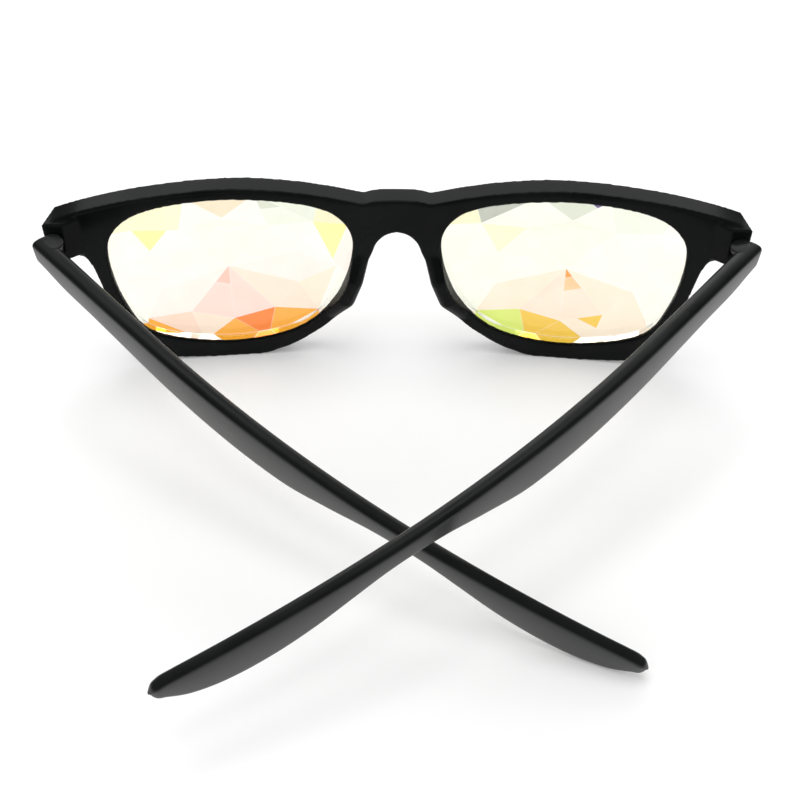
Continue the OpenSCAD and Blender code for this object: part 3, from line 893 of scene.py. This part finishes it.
def tint_facets(lens, side, settings):
    """Splits the glints off, stores a tint for each facet and gives it a paler border."""
    bm = bmesh.new()
    bm.from_mesh(lens.data)
    joined_facets(bm)
    top, found = sort_facets(bm, settings.wide)
    tints = {face: TINTS[side][tier][place] for face, (tier, place) in found.items()}
    for tier, place, where, cuts in GLINTS[side]:
        face = next((f for f, key in found.items() if key == (tier, place)), None)
        if face is None:
            raise RuntimeError(f"{side} has no facet {place} in its {tier} tier")
        along = sorted(face.verts, key=lambda v: v.co.x)
        corner = {"middle": top, "left": along[0], "right": along[-1]}[where]
        for share, tint in cuts:
            rest = tints.pop(face)
            face, large = cut_corner(bm, face, corner, share)
            tints[face], tints[large] = tint, rest
    # The lens's edge takes the tint of the facet that it has its longest side with
    walls = {}
    back = back_face(bm)
    for face in bm.faces:
        beside = [(e.calc_length(), f.index, f) for e in face.edges for f in e.link_faces if f in tints]
        if face not in tints and face is not back and beside:
            walls[face] = tints[max(beside)[2]]
    layer = bm.loops.layers.float_color.new("tint")
    for face in bm.faces:
        paint(face, layer, (1, 1, 1, 1))
    # Glass shows the root of its tint at a surface, and the flat side is clear, so squares are stored
    for face, tint in (*tints.items(), *walls.items()):
        paint(face, layer, (*[c * c for c in getattr(settings, tint)], 1))
    facets = [f for f in tints if f.is_valid]
    borders = bmesh.ops.inset_individual(bm, faces=facets, thickness=settings.border)
    for face in borders["faces"]:
        for loop in face.loops:
            loop[layer] = [1 - (1 - c) * BORDER_TINT for c in loop[layer]]
    bm.to_mesh(lens.data)
    bm.free()


class GLASSES_OT_lenses(bpy.types.Operator):
    """Gives each lens its facet tints"""

    bl_idname = "glasses.lenses"
    bl_label = "Lenses"

    def execute(self, context):
        settings = context.scene.glasses_lenses
        clear = lens_plastic("lens_film")
        for node in ("left_lens", "right_lens"):
            lens = merged_copy(node, "faceted_" + node)
            tint_facets(lens, node, settings)
            smooth_shading(lens, False)
            lens.data.materials.append(clear)
            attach(lens, "front")
            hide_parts(node)
        return {"FINISHED"}


# Hinges


class GLASSES_OT_hinges(bpy.types.Operator):
    """Finishes the hinge leaves and screws"""

    bl_idname = "glasses.hinges"
    bl_label = "Hinges"

    def execute(self, context):
        settings = context.scene.glasses_hinges
        steel = hinge_metal("hinge_steel", settings.steel, roughness=0.3)
        screw = hinge_metal("screw_steel", settings.screw, roughness=0.22)
        for name, node in frame["nodes"].items():
            if name.endswith(("hinge_leaf", "hinge_screw")):
                node.data.materials.clear()
                node.data.materials.append(screw if name.endswith("screw") else steel)
        return {"FINISHED"}


# Stage


# Half the floor's side, its colour, and the glow of views of it near the glasses and far away, each after its
# distance from the middle
FLOOR_HALF = 3.0
FLOOR_COLOUR = (0.8, 0.8, 0.8, 1.0)
GLOW_NEAR = (0.35, 0.18)
GLOW_FAR = (1.0, 1.0)
# Strength of the world as diffuse light, as the dark studio that glossy surfaces mirror, and as the backdrop
WORLD_LIGHT = 0.62
WORLD_MIRRORED = 0.16
WORLD_BACKDROP = 1.0
# Width of the camera's sensor in millimetres
SENSOR = 36.0


def soft_lamp(name, place, target, size, power):
    lamp = bpy.data.lights.new(name, "AREA")
    lamp.shape = "RECTANGLE"
    lamp.size, lamp.size_y = size
    lamp.energy = power
    obj = placed(name, lamp)
    obj.location = place
    obj.rotation_euler = (Vector(target) - Vector(place)).to_track_quat("-Z", "Y").to_euler()
    return obj


class GLASSES_OT_stage(bpy.types.Operator):
    """Sets up the floor, the light and the camera"""

    bl_idname = "glasses.stage"
    bl_label = "Stage"

    def execute(self, context):
        settings = context.scene.glasses_stage
        scene = context.scene
        scene.view_settings.view_transform = "Standard"
        reach = FLOOR_HALF
        corners = [(-reach, -reach, 0), (reach, -reach, 0), (reach, reach, 0), (-reach, reach, 0)]
        floor = mesh_object("floor", corners, [(0, 1, 2, 3)])
        floor.data.materials.append(self.floor_paint())
        self.world(scene)
        soft_lamp("window", place=(0.0, 0.72, 0.50), target=(0, 0.03, 0.03), size=(1.0, 0.36),
                  power=settings.window)
        overhead = soft_lamp("overhead", place=(-0.05, 0.05, 0.9), target=(0, 0, 0), size=(0.6, 0.6),
                             power=settings.overhead)
        overhead.visible_glossy = False
        soft_lamp("ridge", place=(0.0, 0.34, 0.84), target=(0, -0.02, 0.02), size=(0.34, 0.16),
                  power=settings.ridge)
        self.camera(scene, settings)
        return {"FINISHED"}

    def larger(self, tree, a, b):
        """The larger of two numbers."""
        made = tree.nodes.new("ShaderNodeMath")
        made.operation = "MAXIMUM"
        tree.links.new(a, made.inputs[0])
        tree.links.new(b, made.inputs[1])
        return made.outputs[0]

    def floor_paint(self):
        """White floor that keeps the shadows.

        Only what the camera, mirrors and glass see of it is lifted, and more so away from the middle, so that
        the floor ends in the white of the backdrop.
        """
        material = bpy.data.materials.new("floor_white")
        material.use_nodes = True
        tree = material.node_tree
        nodes, links = tree.nodes, tree.links
        nodes.clear()
        path = nodes.new("ShaderNodeLightPath").outputs
        seen = self.larger(tree, path["Is Camera Ray"], path["Is Transmission Ray"])
        seen = self.larger(tree, seen, path["Is Glossy Ray"])
        reach = nodes.new("ShaderNodeVectorMath")
        reach.operation = "LENGTH"
        links.new(nodes.new("ShaderNodeTexCoord").outputs["Object"], reach.inputs[0])
        level = nodes.new("ShaderNodeMapRange")
        level.inputs["From Min"].default_value, level.inputs["To Min"].default_value = GLOW_NEAR
        level.inputs["From Max"].default_value, level.inputs["To Max"].default_value = GLOW_FAR
        links.new(reach.outputs["Value"], level.inputs["Value"])
        lift = nodes.new("ShaderNodeMath")
        lift.operation = "MULTIPLY"
        links.new(seen, lift.inputs[0])
        links.new(level.outputs["Result"], lift.inputs[1])
        glow = nodes.new("ShaderNodeEmission")
        links.new(lift.outputs[0], glow.inputs["Strength"])
        matt = nodes.new("ShaderNodeBsdfDiffuse")
        matt.inputs["Color"].default_value = FLOOR_COLOUR
        both = nodes.new("ShaderNodeAddShader")
        links.new(matt.outputs[0], both.inputs[0])
        links.new(glow.outputs[0], both.inputs[1])
        links.new(both.outputs[0], nodes.new("ShaderNodeOutputMaterial").inputs["Surface"])
        return material

    def world(self, scene):
        """White backdrop, and a darker studio for light and mirror images."""
        scene.world = bpy.data.worlds.new("studio")
        scene.world.use_nodes = True
        tree = scene.world.node_tree
        back = tree.nodes["Background"]
        back.inputs["Color"].default_value = (1, 1, 1, 1)
        path = tree.nodes.new("ShaderNodeLightPath").outputs
        seen = self.larger(tree, path["Is Camera Ray"], path["Is Transmission Ray"])
        mirrored = tree.nodes.new("ShaderNodeMix")
        mirrored.inputs[2].default_value = WORLD_LIGHT
        mirrored.inputs[3].default_value = WORLD_MIRRORED
        tree.links.new(path["Is Glossy Ray"], mirrored.inputs[0])
        level = tree.nodes.new("ShaderNodeMix")
        level.inputs[3].default_value = WORLD_BACKDROP
        tree.links.new(seen, level.inputs[0])
        tree.links.new(mirrored.outputs[0], level.inputs[2])
        tree.links.new(level.outputs[0], back.inputs["Strength"])

    def camera(self, scene, settings):
        lens = bpy.data.cameras.new("camera")
        lens.sensor_width = SENSOR
        lens.sensor_fit = "HORIZONTAL"
        lens.lens = settings.focal * SENSOR
        lens.clip_start = 0.01
        camera = placed("camera", lens)
        yaw, pitch, roll = settings.yaw, settings.pitch, settings.roll
        level = math.cos(pitch)
        ahead = Vector((math.sin(yaw) * level, math.cos(yaw) * level, -math.sin(pitch)))
        right = Vector((math.cos(yaw), -math.sin(yaw), 0.0))
        above = right.cross(ahead)
        side = right * math.cos(roll) + above * math.sin(roll)
        up = above * math.cos(roll) - right * math.sin(roll)
        turn = Matrix((side, up, -ahead)).transposed()
        camera.matrix_world = Matrix.Translation(settings.view_from) @ turn.to_4x4()
        scene.camera = camera


class GLASSES_PT_panel(bpy.types.Panel):
    """Lists the pieces and their settings"""

    bl_idname = "GLASSES_PT_panel"
    bl_label = "Glasses"
    bl_space_type = "VIEW_3D"
    bl_region_type = "UI"
    bl_category = "Glasses"

    def draw(self, context):
        for name, kind, operator in PIECES:
            box = self.layout.box()
            settings = getattr(context.scene, name)
            for key in kind.__annotations__:
                box.prop(settings, key)
            box.operator(operator.bl_idname)


PIECES = (
    ("glasses_front", FrontSettings, GLASSES_OT_front),
    ("glasses_temples", TempleSettings, GLASSES_OT_temples),
    ("glasses_lenses", LensSettings, GLASSES_OT_lenses),
    ("glasses_hinges", HingeSettings, GLASSES_OT_hinges),
    ("glasses_stage", StageSettings, GLASSES_OT_stage),
)


def register():
    for name, kind, operator in PIECES:
        bpy.utils.register_class(kind)
        setattr(bpy.types.Scene, name, bpy.props.PointerProperty(type=kind))
        bpy.utils.register_class(operator)
    bpy.utils.register_class(GLASSES_PT_panel)


def unregister():
    bpy.utils.unregister_class(GLASSES_PT_panel)
    for name, kind, operator in reversed(PIECES):
        bpy.utils.unregister_class(operator)
        delattr(bpy.types.Scene, name)
        bpy.utils.unregister_class(kind)


def main():
    register()
    bpy.ops.glasses.stage()
    bpy.ops.glasses.front()
    bpy.ops.glasses.temples()
    bpy.ops.glasses.lenses()
    bpy.ops.glasses.hinges()


if __name__ == "__main__":
    main()
